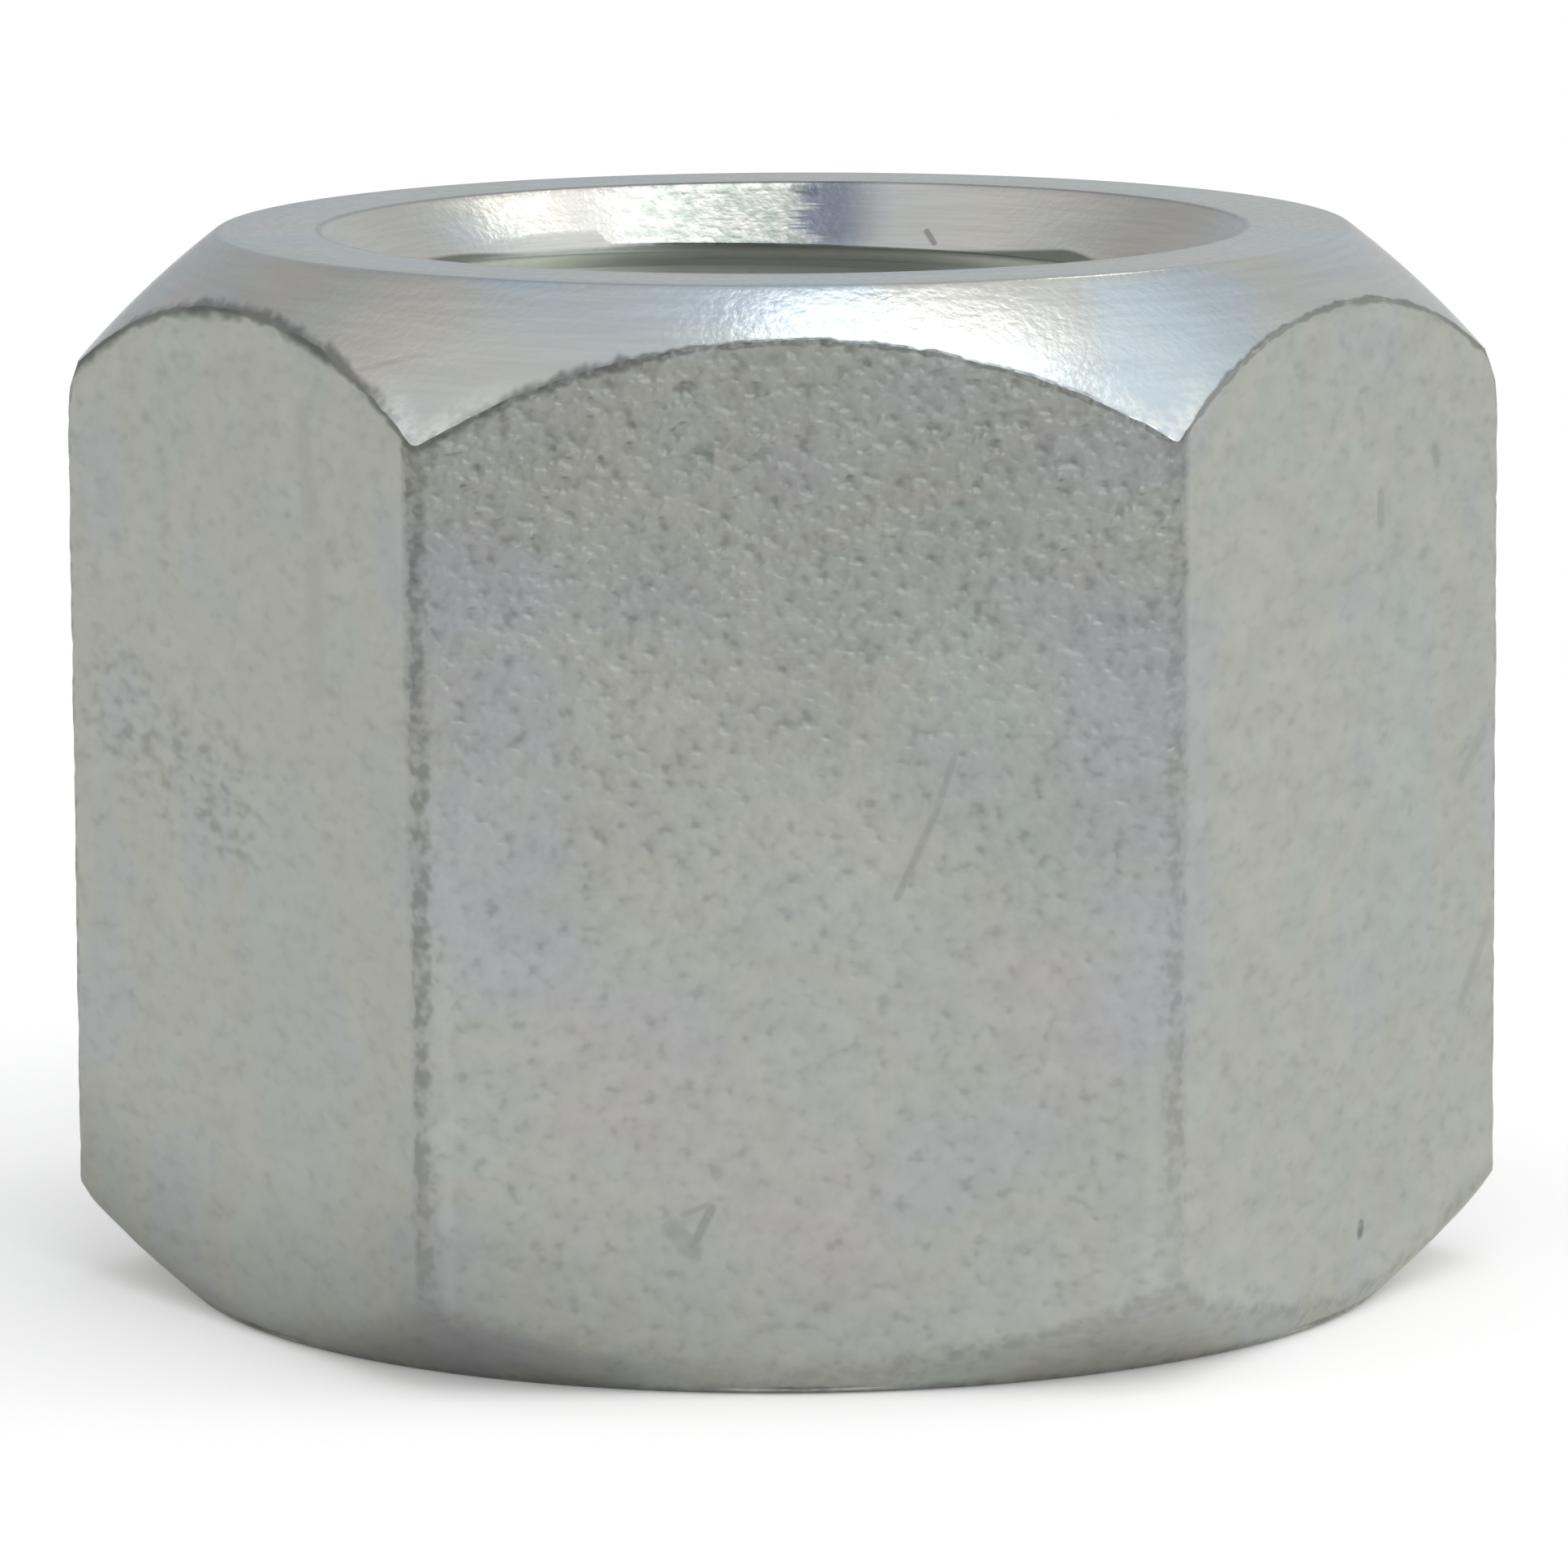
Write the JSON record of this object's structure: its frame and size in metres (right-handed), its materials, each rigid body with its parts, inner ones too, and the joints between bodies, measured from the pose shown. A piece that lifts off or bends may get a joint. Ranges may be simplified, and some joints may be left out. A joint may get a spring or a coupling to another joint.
{
  "type": "lug nut",
  "caption": "Forged hexagonal wheel nut with a turned ball seat at one end, a flat coned end and a countersunk threaded bore.",
  "frame": {"origin": "centre of the bore at the flat end's face", "axes": "+Z along the thread axis towards the ball seat; two flats of the hexagon face -Y and +Y, and two corners lie on X"},
  "size_m": [0.0368, 0.032, 0.0272],
  "materials": {
    "zinc_steel": "zinc plated, matte on the forged faces and smooth on the turned seat and countersink"
  },
  "bodies": {
    "root": {"lug_nut": "zinc_steel"}
  },
  "joints": []
}
